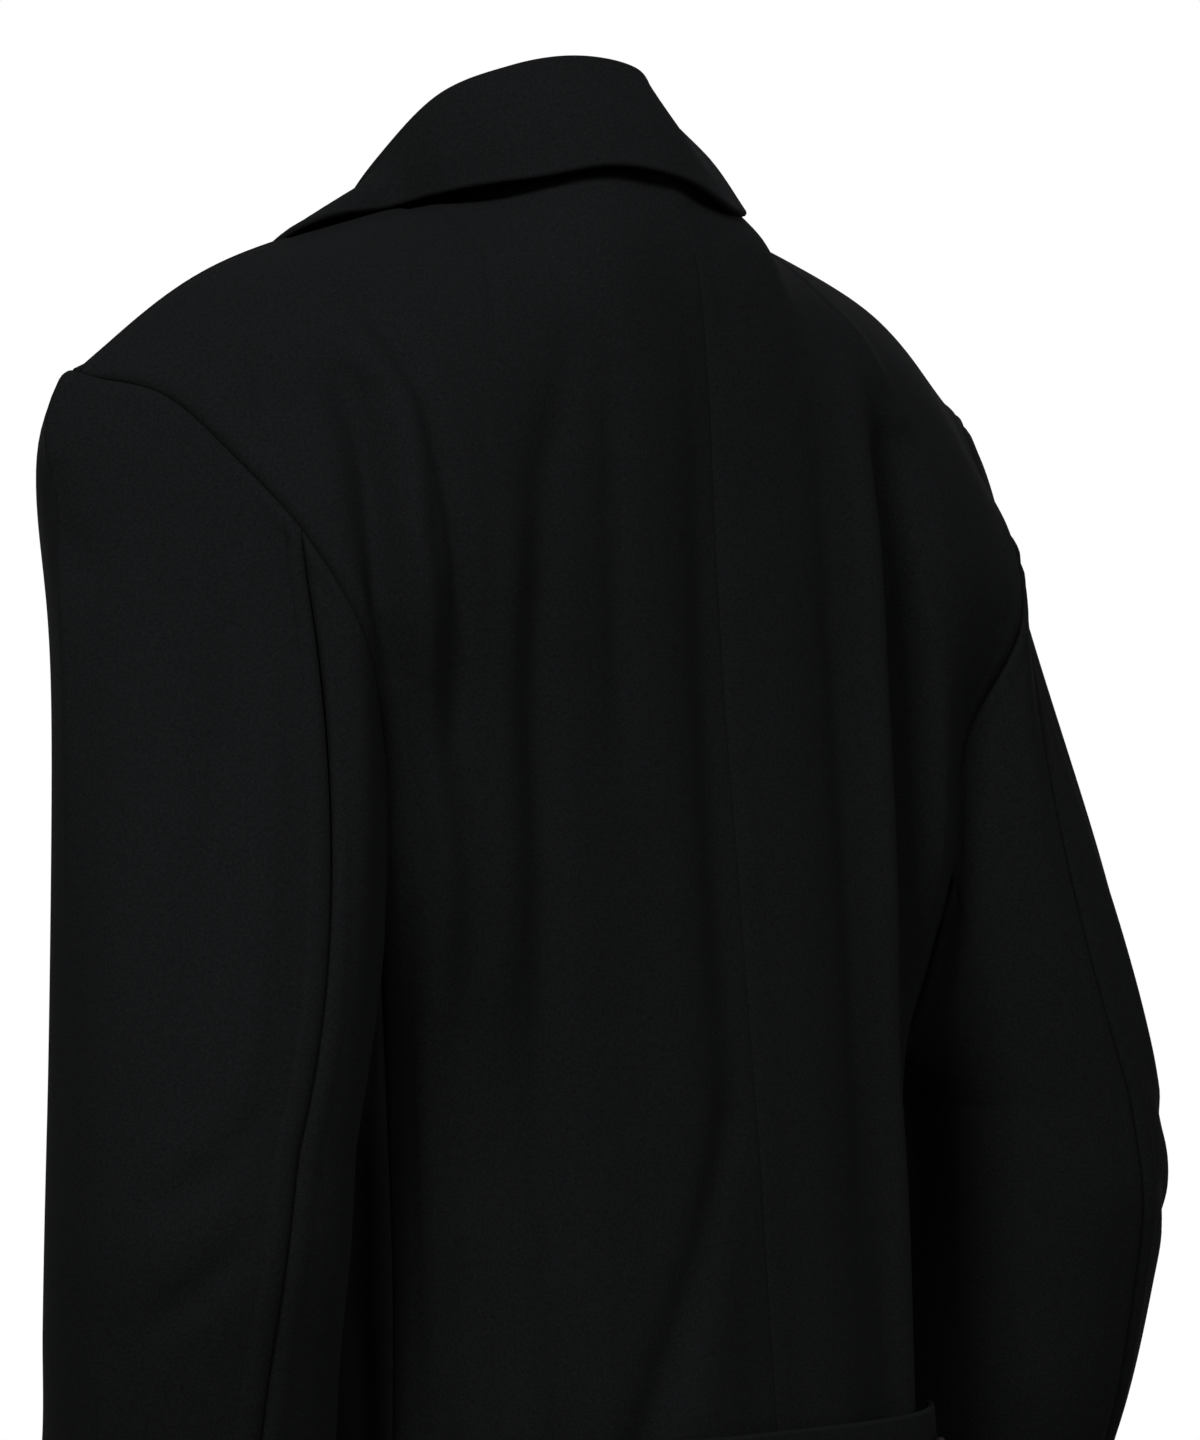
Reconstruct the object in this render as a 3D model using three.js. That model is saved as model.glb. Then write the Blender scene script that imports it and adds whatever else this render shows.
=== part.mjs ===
// Double-breasted wool pea coat in the hollow shape it has when worn, elbows a little bent.
// Millimetres. The front faces -Y, +X is the wearer's left and +Z is up. The origin is on the
// neck's axis, level with the points where the shoulder seams meet the collar.
import * as THREE from 'three';

// Driving sizes
const CLOTH = 2.6; // one wall of heavy melton with its turnings
const SEAM = 0.4; // gap between pieces that are sewn together
const BEVEL = 2.4; // the inner face of a wall ends this far inside its outer edge
const WAIST_BELT_TOP = -550;
const WAIST_BELT_HEIGHT = 50;
const WAIST_BELT_HALF = 142;
const BUTTON_RADIUS = 12.5;
const BUTTON_THICK = 3.6;
const LIE = 0.9; // how far a piece that lies on a panel stays clear of it
const LAPEL_LIE = 1.6; // a lapel rolls, so it stands a little further off
const SIDE_TRIM = 0.9; // the side panel's pointed top corners are cut back this much
const ARMHOLE_EASE = 1.2; // the sleeve head starts this far from the armhole's edge

const WOOL = new THREE.Color('#17181c');
const HORN = new THREE.Color('#14110f');

// Half back. Each row runs from the centre seam to the outer edge, which is the shoulder tip,
// then the armhole, then the seam to the side panel. The first row is the neck and shoulder seam.
const BACK_COLUMNS = [0, 0.24, 0.44, 0.74, 1];
const BACK = [
  { down: 0, centre: [0, 85, 13], inner: [51, 62, 3], blade: [77, 0, -6], outer: [198, 0, -42], edge: [278, 5, -89] },
  { down: 45, centre: [0, 103, -32], inner: [55, 93, -24], blade: [88, 44, -15], outer: [183, 42, -49], edge: [253, 35, -99] },
  { down: 85, centre: [0, 110, -68], inner: [54, 106, -55], blade: [94, 82, -42], outer: [177, 78, -80], edge: [237, 62, -126] },
  { down: 125, centre: [0, 115, -102], inner: [52, 114, -96], blade: [97, 106, -84], outer: [176, 101, -118], edge: [226, 92, -157] },
  { down: 165, centre: [0, 118, -152], inner: [50, 119, -149], blade: [98, 117, -145], outer: [170, 115, -162], edge: [212, 109, -192] },
  { down: 225, centre: [0, 123, -225], inner: [50, 124, -225], blade: [99, 121, -225], outer: [158, 112, -230], edge: [187, 97, -245] },
  { down: 300, centre: [0, 131, -305], inner: [50, 131, -305], blade: [100, 126, -305], outer: [152, 112, -303], edge: [183, 93, -301] },
  { down: 400, centre: [0, 140, -400], inner: [50, 139, -400], blade: [98, 128, -400], outer: [138, 101, -397], edge: [165, 77, -392] },
  { down: 485, centre: [0, 147, -485], inner: [50, 145, -485], blade: [98, 133, -485], outer: [137, 104, -485], edge: [162, 78, -485] },
  { down: 550, centre: [0, 153, -550], inner: [50, 151, -550], blade: [99, 137, -550], outer: [139, 107, -550], edge: [165, 81, -550] },
  { down: 660, centre: [0, 162, -660], inner: [51, 160, -660], blade: [103, 146, -660], outer: [146, 117, -660], edge: [174, 90, -660] },
  { down: 800, centre: [0, 172, -800], inner: [53, 170, -800], blade: [107, 158, -800], outer: [154, 130, -800], edge: [186, 103, -800] },
];

// Half front. Each row runs from the turn of the lapel, then the closing edge, to the outer edge.
const FRONT_COLUMNS = [0, 0.4, 0.74, 1];
const FRONT = [
  { down: 0, turn: [77, 0, -6], chest: [122, 0, -18], outer: [200, 0, -43], edge: [278, 5, -89] },
  { down: 45, turn: [80, -28, -27], chest: [125, -30, -36], outer: [195, -29, -64], edge: [258, -16, -99] },
  { down: 85, turn: [77, -56, -56], chest: [124, -60, -68], outer: [188, -54, -94], edge: [242, -32, -126] },
  { down: 125, turn: [64, -84, -100], chest: [118, -88, -110], outer: [180, -76, -130], edge: [228, -42, -157] },
  { down: 165, turn: [38, -108, -155], chest: [100, -109, -158], outer: [168, -92, -170], edge: [214, -46, -189] },
  { down: 225, turn: [-6, -124, -212], chest: [78, -123, -214], outer: [154, -100, -222], edge: [200, -38, -237] },
  { down: 285, turn: [-66, -131, -278], chest: [52, -132, -278], outer: [142, -108, -282], edge: [187, -12, -300] },
  { down: 335, turn: [-69, -132, -335], chest: [46, -135, -335], outer: [141, -111, -335], edge: [184, 3, -342] },
  { down: 400, turn: [-72, -134, -400], chest: [42, -137, -400], outer: [141, -114, -398], edge: [178, -6, -398] },
  { down: 485, turn: [-74, -134, -485], chest: [42, -137, -485], outer: [140, -114, -485], edge: [178, -21, -485] },
  { down: 600, turn: [-76, -137, -600], chest: [44, -141, -600], outer: [143, -116, -600], edge: [180, -33, -600] },
  { down: 800, turn: [-80, -146, -800], chest: [48, -151, -800], outer: [151, -126, -800], edge: [197, -50, -800] },
];

// Side panel. The first row is the bottom of the armhole, and each row runs from the back's edge to
// the front's: atBack and atFront are the rows of those panels that it meets.
const SIDE_COLUMNS = [0, 0.25, 0.5, 0.75, 1];
const SIDE = [
  { down: 0, atBack: 300, rear: [180, 74, -362], middle: [179, 48, -390], fore: [180, 28, -374], atFront: 335 },
  { down: 40, atBack: 400, rear: [171, 63, -410], middle: [175, 44, -424], fore: [178, 18, -414], atFront: 400 },
  { down: 125, atBack: 485, rear: [167, 60, -485], middle: [172, 38, -485], fore: [177, 10, -485], atFront: 485 },
  { down: 190, atBack: 550, rear: [169, 63, -550], middle: [173, 37, -550], fore: [177, 6, -550], atFront: 548 },
  { down: 240, atBack: 605, rear: [173, 64, -600], middle: [176, 36, -600], fore: [179, 2, -600], atFront: 600 },
  { down: 440, atBack: 800, rear: [191, 73, -800], middle: [194, 33, -800], fore: [196, -10, -800], atFront: 800 },
];

// Rows where the armhole leaves the back and the front for the side panel, and where the sleeve's
// own seams meet it.
const BACK_ARMHOLE_END = SIDE[0].atBack;
const FRONT_ARMHOLE_END = SIDE[0].atFront;
const SLEEVE_SEAM_ROW = 125;

// Sleeve below the armhole: centre, radius, how much the section dips at its back, and where the
// hind-arm seam runs, in degrees around the sleeve from +X towards +Y.
const SLEEVE = [
  { z: -415, x: 261, y: 67, radius: 64.8, dip: 0, hind: 87.5 },
  { z: -458, x: 265, y: 69, radius: 64, dip: 0.06, hind: 84 },
  { z: -500, x: 263, y: 63, radius: 62.3, dip: 0.14, hind: 80 },
  { z: -550, x: 257.5, y: 54, radius: 61, dip: 0.2, hind: 75 },
  { z: -610, x: 254, y: 34, radius: 58, dip: 0.26, hind: 71 },
  { z: -680, x: 254, y: 8, radius: 55, dip: 0.3, hind: 69 },
];
const SLEEVE_CAP_SHARE = 0.48; // part of a sleeve's rows that the shaped head takes
const SLEEVE_PUFF = 0.05; // how strongly the whole head leans outwards from its seam
const HEAD_ROLL = 9; // the eased head stands this far proud just below the seam
const HEAD_ROLL_DOWN = 30; // distance from the seam to the roll's crest
const FULLER_IN_FRONT = 0.9; // share by which the roll grows forwards and dies out backwards
const HIND_SEAM_BOW = 13; // the hind-arm seam bows this far towards the body above the elbow
const FRONT_SEAM = -100; // degrees

// Folds as soft ridges and troughs: from (x, z) to (x, z), half-width, height over the cloth.
const BACK_FOLDS = [
  { from: [178, -110], to: [158, -320], wide: 9, high: 5 },
  { from: [156, -330], to: [148, -500], wide: 9, high: 4 },
  { from: [158, -70], to: [158, -230], wide: 9, high: -4 },
  { from: [112, -160], to: [112, -560], wide: 14, high: -4 },
  { from: [40, -120], to: [42, -620], wide: 26, high: 2.5 },
  { from: [6, -90], to: [14, -420], wide: 20, high: -3.5 },
  { from: [16, -405], to: [80, -570], wide: 14, high: -4.5 },
  { from: [-98, -90], to: [-98, -500], wide: 12, high: 6 },
  { from: [-130, -120], to: [-124, -360], wide: 17, high: -9 },
  { from: [-40, -150], to: [-40, -600], wide: 30, high: 3 },
  { from: [60, -640], to: [64, -800], wide: 26, high: 5 },
  { from: [-72, -600], to: [-78, -800], wide: 28, high: 5 },
];
const FRONT_FOLDS = [
  { from: [120, -130], to: [128, -330], wide: 16, high: -4 },
  { from: [-124, -120], to: [-132, -300], wide: 18, high: -5 },
  { from: [150, -420], to: [120, -520], wide: 14, high: -4 },
  { from: [-152, -430], to: [-118, -540], wide: 16, high: -4 },
];

// Sleeve folds: from (degrees, z) to (degrees, z), half-width in mm on the cloth, height.
const SLEEVE_FOLDS = [
  { from: [-30, -140], to: [-12, -176], wide: 12, high: -4 },
  { from: [62, -170], to: [58, -300], wide: 11, high: -3.5 },
  { from: [22, -180], to: [18, -420], wide: 16, high: 2.5 },
  { from: [66, -404], to: [30, -440], wide: 9, high: -4 },
  { from: [66, -452], to: [30, -488], wide: 9, high: -4 },
  { from: [-80, -430], to: [-120, -470], wide: 12, high: -5 },
];

// Collar, from its left front end to its right one: distance round the neck edge from the centre
// back, the fold and the leaf's edge. Its right half sits a little lower.
const COLLAR = [
  { turn: -184, fold: [84, -50, -37], edge: [150, -44, -50] },
  { turn: -160, fold: [90, -27, -8], edge: [146, 3, -20] },
  { turn: -134, fold: [86, -4, 17], edge: [98, 7, -9] },
  { turn: -108, fold: [78, 19, 38], edge: [84, 35, -3] },
  { turn: -74, fold: [57, 44, 51], edge: [61, 68, 2.5] },
  { turn: -36, fold: [30, 60, 56], edge: [33, 86, 8] },
  { turn: 0, fold: [0, 65, 52], edge: [0, 96, 3] },
  { turn: 36, fold: [-20, 54, 40], edge: [-34, 92, -8] },
  { turn: 74, fold: [-45, 38, 37], edge: [-66, 68, -7] },
  { turn: 108, fold: [-66, 16, 26], edge: [-85, 36, -5] },
  { turn: 134, fold: [-80, -5, 12], edge: [-97, 6, -8.5] },
  { turn: 160, fold: [-88, -27, -8], edge: [-146, 3, -20] },
  { turn: 184, fold: [-84, -50, -37], edge: [-150, -44, -50] },
];
const NECK_FRONT_END = 85; // row of the front where the neck edge ends
const FOOT_IN = 1.5; // the foot of the stand lies inside the neck edge
const FOOT_UP = 2.6;

const FRONT_BUTTONS = [-300, -400, -500]; // heights of the three rows
const FRONT_BUTTON_COLUMNS = [-52, 62];

const add = (a, b, k = 1) => a.map((value, axis) => value + b[axis] * k);
const cross = (a, b) => [a[1] * b[2] - a[2] * b[1], a[2] * b[0] - a[0] * b[2], a[0] * b[1] - a[1] * b[0]];
const unit = (a) => add([0, 0, 0], a, 1 / Math.hypot(...a));
const mirror = (p) => [-p[0], p[1], p[2]];

// Smooth curve through points at the given knots. A sharpness of 1 makes the corner point a corner.
function curve(points, knots, at, corner = -1, sharp = 0) {
  let i = 0;
  while (i < knots.length - 2 && at > knots[i + 1]) i += 1;
  const rise = (k) => add(points[k + 1], points[k], -1).map((value) => value / (knots[k + 1] - knots[k]));
  const slope = (k, leaving) => {
    if (k === 0) return rise(0);
    if (k === knots.length - 1) return rise(k - 1);
    const before = knots[k] - knots[k - 1];
    const after = knots[k + 1] - knots[k];
    const smooth = rise(k - 1).map((value, axis) => (value * after + rise(k)[axis] * before) / (before + after));
    const own = leaving ? rise(k) : rise(k - 1);
    const weight = k === corner ? sharp : 0;
    return smooth.map((value, axis) => value + (own[axis] - value) * weight);
  };
  const span = knots[i + 1] - knots[i];
  const f = (at - knots[i]) / span;
  const a = 2 * f ** 3 - 3 * f ** 2 + 1;
  const b = (f ** 3 - 2 * f ** 2 + f) * span;
  const c = (f ** 3 - f ** 2) * span;
  const out = slope(i, true);
  const into = slope(i + 1, false);
  return points[i].map((value, axis) => value * a + points[i + 1][axis] * (1 - a) + out[axis] * b + into[axis] * c);
}

// Surface through the points of a table, across its columns (0..1) and down its rows (0..1).
function net(rows, columns, corner = -1) {
  const knots = rows.map((row) => row.down);
  const lines = rows.map((row) => Object.values(row).slice(1));
  const last = knots[knots.length - 1];
  return (across, down) => {
    const at = down * last;
    const points = columns.map((_, k) => curve(lines.map((line) => line[k]), knots, at));
    const sharp = Math.max(0, 1 - at / knots[1]);
    return curve(points, columns, across, corner, sharp);
  };
}

// How far the folds of a list lift the cloth at (a, b); scale turns a into mm.
function relief(folds, a, b, scale = 1) {
  return folds.reduce((sum, { from, to, wide, high }) => {
    const run = [(to[0] - from[0]) * scale, to[1] - from[1]];
    const off = [(a - from[0]) * scale, b - from[1]];
    const share = (off[0] * run[0] + off[1] * run[1]) / (run[0] ** 2 + run[1] ** 2);
    const near = Math.min(1, Math.max(0, share));
    const gap = Math.hypot(off[0] - run[0] * near, off[1] - run[1] * near);
    return sum + high * Math.exp(-((gap / wide) ** 2));
  }, 0);
}

// Outward direction of a grid of points at (i, j); turned is -1 where the grid runs the other way.
function facing(grid, i, j, turned) {
  const up = grid[Math.min(i + 1, grid.length - 1)][j];
  const low = grid[Math.max(i - 1, 0)][j];
  const right = grid[i][Math.min(j + 1, grid[0].length - 1)];
  const left = grid[i][Math.max(j - 1, 0)];
  return unit(cross(add(up, low, -1), add(right, left, -1))).map((value) => value * turned);
}

const EDGE_FADE = 0.07; // the folds die out over this share of a panel at its outer seam
// Points of a surface, lifted by its folds and drawn in at its edges by half the seam gap.
function sheet(surface, across, down, { lift = () => 0, turned = 1, ease = 0, trim = 0 } = {}) {
  const flat = [];
  for (let i = 0; i <= across; i += 1) {
    flat.push([]);
    for (let j = 0; j <= down; j += 1) flat[i].push(surface(i / across, j / down));
  }
  const fade = (i) => Math.min(1, (across - i) / (across * EDGE_FADE));
  const grid = flat.map((line, i) => line.map((p, j) => add(p, facing(flat, i, j, turned), lift(p) * fade(i))));
  grid.forEach((line) => { line[0] = add(line[0], unit(add(line[1], line[0], -1)), ease); });
  return drawnIn(grid, SEAM / 2 + trim);
}

// The same grid with its four borders moved inwards along the cloth.
function drawnIn(grid, inset) {
  const m = grid.length - 1;
  const n = grid[0].length - 1;
  const toward = (p, q) => add(p, unit(add(q, p, -1)), inset);
  const columns = grid.map((line, i) => {
    if (i === 0) return line.map((p, j) => toward(p, grid[1][j]));
    if (i === m) return line.map((p, j) => toward(p, grid[m - 1][j]));
    return line;
  });
  return columns.map((line) => line.map((p, j) => {
    if (j === 0) return toward(p, line[1]);
    if (j === n) return toward(p, line[n - 1]);
    return p;
  }));
}

// Closed wall over a grid: outer face raised by above, inner face lowered by below.
function wall(grid, { turned = 1, above = 0, below = CLOTH, bevel = BEVEL } = {}) {
  const m = grid.length;
  const n = grid[0].length;
  const outer = grid.map((line, i) => line.map((p, j) => add(p, facing(grid, i, j, turned), above)));
  const sunk = grid.map((line, i) => line.map((p, j) => add(p, facing(grid, i, j, turned), -below)));
  const inner = bevel > 0 ? drawnIn(sunk, bevel) : sunk;
  const positions = [...outer.flat(), ...inner.flat()].flat();
  const top = (i, j) => i * n + j;
  const low = (i, j) => m * n + i * n + j;
  const faces = [];
  const quad = (a, b, c, d) => faces.push([a, b, c], [a, c, d]);
  for (let i = 0; i < m - 1; i += 1) {
    for (let j = 0; j < n - 1; j += 1) {
      quad(top(i, j), top(i + 1, j), top(i + 1, j + 1), top(i, j + 1));
      quad(low(i, j), low(i, j + 1), low(i + 1, j + 1), low(i + 1, j));
    }
  }
  for (let i = 0; i < m - 1; i += 1) {
    quad(top(i, 0), low(i, 0), low(i + 1, 0), top(i + 1, 0));
    quad(top(i + 1, n - 1), low(i + 1, n - 1), low(i, n - 1), top(i, n - 1));
  }
  for (let j = 0; j < n - 1; j += 1) {
    quad(top(0, j + 1), low(0, j + 1), low(0, j), top(0, j));
    quad(top(m - 1, j), low(m - 1, j), low(m - 1, j + 1), top(m - 1, j + 1));
  }
  const geometry = new THREE.BufferGeometry();
  geometry.setAttribute('position', new THREE.Float32BufferAttribute(positions, 3));
  geometry.setIndex(faces.map((face) => (turned > 0 ? face : [face[0], face[2], face[1]])).flat());
  return geometry;
}

const coat = new THREE.Group();

function place(name, geometry, color = WOOL, roughness = 0.95) {
  geometry.computeVertexNormals();
  const mesh = new THREE.Mesh(geometry, new THREE.MeshStandardMaterial({ color, roughness, metalness: 0 }));
  mesh.name = name;
  coat.add(mesh);
  return mesh;
}

const SIDES = [
  { word: 'left', hand: 1 },
  { word: 'right', hand: -1 },
];
// A surface drawn for the wearer's left, on either side.
const onSide = (surface, hand) => (s, t) => (hand > 0 ? surface(s, t) : mirror(surface(s, t)));

// Back and side panels
const halfBack = net(BACK, BACK_COLUMNS, 2);
const edgeAt = (rows, at) => curve(rows.map((row) => row.edge), rows.map((row) => row.down), at);
const sideKnots = SIDE.map((row) => row.down);
const sideWhole = sideKnots[sideKnots.length - 1];
const sideColumn = (name, at) => curve(SIDE.map((row) => [row[name]].flat()), sideKnots, at);
const halfSide = (s, t) => {
  const at = t * sideWhole;
  return curve([
    edgeAt(BACK, sideColumn('atBack', at)[0]),
    sideColumn('rear', at),
    sideColumn('middle', at),
    sideColumn('fore', at),
    edgeAt(FRONT, sideColumn('atFront', at)[0]),
  ], SIDE_COLUMNS, s);
};
SIDES.forEach(({ word, hand }) => {
  const lift = (p) => relief(BACK_FOLDS, p[0], p[2]);
  const back = sheet(onSide(halfBack, hand), 15, 30, { lift, turned: hand });
  place(`back_${word}`, wall(back, { turned: hand }));
  const side = sheet(onSide(halfSide, hand), 8, 17, { turned: hand, trim: SIDE_TRIM });
  place(`side_${word}`, wall(side, { turned: hand, bevel: BEVEL + 1.4 }));
});

// Fronts, the left one over the right, and the lapels folded back on them
const UNDERLAP = 8.5; // the right front lies this far behind the left one where they cross
const frontNet = net(FRONT, FRONT_COLUMNS);
const SHOULDER_SHARE = 1 - BACK_COLUMNS[2]; // part of the back's top row that is the shoulder seam
const halfFront = (s, t) => {
  const down = (t * FRONT[FRONT.length - 1].down) / FRONT[1].down;
  const seam = add(halfBack(BACK_COLUMNS[2] + SHOULDER_SHARE * s, 0), frontNet(s, 0), -1);
  return add(frontNet(s, t), seam, Math.max(0, 1 - down) ** 2);
};
const frontSurface = (hand) => (s, t) => {
  const p = halfFront(s, t);
  const under = hand < 0 ? UNDERLAP * Math.min(1, Math.max(0, (135 - p[0]) / 45)) : 0;
  const deep = Math.min(1, Math.max(0, (-p[2] - 60) / 120));
  const q = [p[0], p[1] + under * deep, p[2]];
  return hand > 0 ? q : mirror(q);
};
const frontLift = (p) => relief(FRONT_FOLDS, p[0], p[2]);
const frontGrid = {};
SIDES.forEach(({ word, hand }) => {
  frontGrid[word] = sheet(frontSurface(hand), 11, 24, { lift: frontLift, turned: -hand });
  place(`front_${word}`, wall(frontGrid[word], { turned: -hand, bevel: BEVEL + 0.8 }));
});

// The same panel read between its own points, for what lies on it.
const onPanel = (grid) => (s, t) => {
  const column = Math.min(s, 1) * (grid.length - 1);
  const row = t * (grid[0].length - 1);
  const i = Math.min(Math.floor(column), grid.length - 2);
  const j = Math.min(Math.floor(row), grid[0].length - 2);
  const mix = (p, q, f) => add(p, add(q, p, -1), f);
  return mix(mix(grid[i][j], grid[i + 1][j], column - i), mix(grid[i][j + 1], grid[i + 1][j + 1], column - i), row - j);
};

// A lapel reaches from the turn to its own edge, widest at the notch and nothing at the break.
const LAPEL_TOP = 0.098; // share of the front's rows where the notch is
const LAPEL_BREAK = 0.345;
const LAPEL_WIDE = 0.62; // share of the front's width that the lapel covers at the notch
SIDES.forEach(({ word, hand }) => {
  const surface = (s, t) => {
    const width = LAPEL_WIDE * (1 - t) ** 0.75 * (1 - 0.12 * t) + 0.035;
    return onPanel(frontGrid[word])(s * width, LAPEL_TOP + (LAPEL_BREAK - LAPEL_TOP) * t);
  };
  const grid = sheet(surface, 7, 13, { turned: -hand });
  place(`lapel_${word}`, wall(grid, { turned: -hand, above: LAPEL_LIE + CLOTH, below: -LAPEL_LIE, bevel: 0 }));
});

// Sleeves in two pieces each, from the armhole down to the open cuff
const chord = (points) => points.reduce((sums, p, k) => (
  k === 0 ? [0] : [...sums, sums[k - 1] + Math.hypot(...add(p, points[k - 1], -1))]), []);
const sleeveKnots = SLEEVE.map((row) => -row.z);
const sleeveRow = (z) => curve(SLEEVE.map((row) => Object.values(row).slice(1)), sleeveKnots, -z);
// The sleeve's section at z, at a share of the way round from the hind-arm seam to the last angle.
const angleAt = (share, last, z) => {
  const hind = sleeveRow(z)[4];
  return THREE.MathUtils.degToRad(hind + (last - hind) * share);
};
const ring = (share, last, z) => {
  const [x, y, radius, dip] = sleeveRow(z);
  const angle = angleAt(share, last, z);
  const back = radius * Math.sin(angle);
  return [x + radius * Math.cos(angle), y + back, z - dip * back];
};
// The armhole is the panels' own edges: down the back, under the arm, up the front.
const edgeRun = (rows, from, to) => (f) => edgeAt(rows, from + (to - from) * f);
const underArm = (f) => halfSide(f, 0);
const RUN_STEPS = 24;
const sampled = (runs) => runs.flatMap((run, k) => (
  Array.from({ length: RUN_STEPS + 1 }, (_, i) => run(i / RUN_STEPS)).slice(k === 0 ? 0 : 1)));
const ARMHOLE_TOP = sampled([edgeRun(BACK, SLEEVE_SEAM_ROW, 0), edgeRun(FRONT, 0, SLEEVE_SEAM_ROW)]);
const ARMHOLE_UNDER = sampled([
  edgeRun(BACK, SLEEVE_SEAM_ROW, BACK_ARMHOLE_END),
  underArm,
  edgeRun(FRONT, FRONT_ARMHOLE_END, SLEEVE_SEAM_ROW),
]);
function sleevePiece(hole, last) {
  const knots = chord(hole);
  const whole = knots[knots.length - 1];
  const head = SLEEVE[0].z;
  const cuff = SLEEVE[SLEEVE.length - 1].z;
  return (s, t) => {
    if (t >= SLEEVE_CAP_SHARE) {
      return ring(s, last, head + ((cuff - head) * (t - SLEEVE_CAP_SHARE)) / (1 - SLEEVE_CAP_SHARE));
    }
    const from = curve(hole, knots, s * whole);
    const to = ring(s, last, head);
    const path = add(to, from, -1);
    const long = Math.hypot(...path);
    const angle = angleAt(s, last, head);
    const out = [Math.cos(angle), Math.sin(angle), 0];
    const high = Math.min(1, (from[2] - head) / 320) * (1 - FULLER_IN_FRONT * Math.sin(angle));
    const start = unit(add(unit(path), out, SLEEVE_PUFF * high));
    const finish = unit(add(ring(s, last, head - 20), to, -1));
    const f = t / SLEEVE_CAP_SHARE;
    const a = 2 * f ** 3 - 3 * f ** 2 + 1;
    const b = (f ** 3 - 2 * f ** 2 + f) * long;
    const c = (f ** 3 - f ** 2) * long;
    const crest = (f * long) / HEAD_ROLL_DOWN;
    const plain = from.map((value, axis) => value * a + to[axis] * (1 - a) + start[axis] * b + finish[axis] * c);
    const bow = HIND_SEAM_BOW * 4 * f * (1 - f) * (1 - s) ** 3;
    return add(add(plain, out, HEAD_ROLL * high * crest * Math.exp(1 - crest)), [-1, 0, 0], bow);
  };
}
const MM_PER_DEGREE = 1.15;
const sleeveLift = (p) => {
  const [x, y] = sleeveRow(Math.min(p[2], SLEEVE[0].z));
  const degrees = THREE.MathUtils.radToDeg(Math.atan2(p[1] - y, Math.abs(p[0]) - x));
  return relief(SLEEVE_FOLDS, degrees, p[2], MM_PER_DEGREE);
};
const topSleeve = sleevePiece(ARMHOLE_TOP, FRONT_SEAM);
const underSleeve = sleevePiece(ARMHOLE_UNDER, FRONT_SEAM + 360);
SIDES.forEach(({ word, hand }) => {
  const top = sheet(onSide(topSleeve, hand), 13, 25, { lift: sleeveLift, turned: hand, ease: ARMHOLE_EASE });
  place(`sleeve_top_${word}`, wall(top, { turned: hand }));
  const under = sheet(onSide(underSleeve, hand), 12, 24, { turned: -hand, ease: ARMHOLE_EASE });
  place(`sleeve_under_${word}`, wall(under, { turned: -hand }));
});

// Collar, one wall that stands up from the neck edge, folds over and falls as the leaf
const FOLD_HALF = 3.2;
const NECK_EDGE = sampled([
  (f) => halfBack(BACK_COLUMNS[2] * f, 0),
  (f) => halfFront(0, (NECK_FRONT_END * f) / FRONT[FRONT.length - 1].down),
]);
const neckKnots = chord(NECK_EDGE);
const collarRows = COLLAR.map(({ turn, fold, edge }) => {
  const neck = curve(NECK_EDGE, neckKnots, Math.abs(turn));
  const inward = unit([-neck[0], -neck[1], 0]);
  const seam = add(add(neck, inward, FOOT_IN), [0, 0, FOOT_UP]);
  const foot = turn > 0 ? mirror(seam) : seam;
  const out = unit([edge[0] - foot[0], edge[1] - foot[1], 0]);
  const standing = add(foot, fold, -1).map((value, axis) => fold[axis] + value * 0.5);
  const falling = add(edge, fold, -1).map((value, axis) => fold[axis] + value * 0.5);
  return [
    foot,
    add(standing, out, -1.2),
    add(add(fold, out, -FOLD_HALF), [0, 0, -4]),
    fold,
    add(add(fold, out, FOLD_HALF), [0, 0, -4]),
    add(falling, out, 3),
    edge,
  ];
});
const COLLAR_COLUMNS = [0, 0.22, 0.4, 0.46, 0.52, 0.74, 1];
const collarKnots = COLLAR.map((row) => row.turn);
const collarSurface = (s, t) => {
  const turn = (2 * s - 1) * collarKnots[collarKnots.length - 1];
  const across = collarRows[0].map((_, k) => curve(collarRows.map((row) => row[k]), collarKnots, turn));
  return curve(across, COLLAR_COLUMNS, t);
};
place('collar', wall(sheet(collarSurface, 36, 13, { turned: -1 }), { turned: -1, above: 1.3, below: 1.3, bevel: 0 }));

// Pocket welts and the half-belt are cut from the panel's points and moved out
const welt = (s, t) => [0.6 + 0.09 * s + 0.05 * t, 0.56 + 0.2 * t];
SIDES.forEach(({ word, hand }) => {
  const surface = (s, t) => onPanel(frontGrid[word])(...welt(s, t));
  const grid = sheet(surface, 2, 10, { turned: -hand });
  place(`pocket_welt_${word}`, wall(grid, { turned: -hand, above: LAPEL_LIE + CLOTH, below: -LAPEL_LIE, bevel: 0 }));
});

// The half-belt is taut, so it bridges the folds under it.
const BELT_MIDDLE_Y = 160.8;
const BELT_FALL = 45; // its ends lie this much further forward than its middle
const BELT_BEND = 3.5; // power by which it bends towards its ends
const BELT_SLOPE = 0.09; // the back spreads towards the hem by this share of the height
const beltY = (x) => BELT_MIDDLE_Y - BELT_FALL * (Math.abs(x) / WAIST_BELT_HALF) ** BELT_BEND;
const beltSurface = (s, t) => {
  const x = WAIST_BELT_HALF * (2 * s - 1);
  const z = WAIST_BELT_TOP - WAIST_BELT_HEIGHT * t;
  return [x, beltY(x) + (WAIST_BELT_TOP - z) * BELT_SLOPE, z];
};
const belt = sheet(beltSurface, 18, 2, { turned: 1 });
place('half_belt', wall(belt, { turned: 1, below: CLOTH + 0.8, bevel: 0 }));

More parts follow.
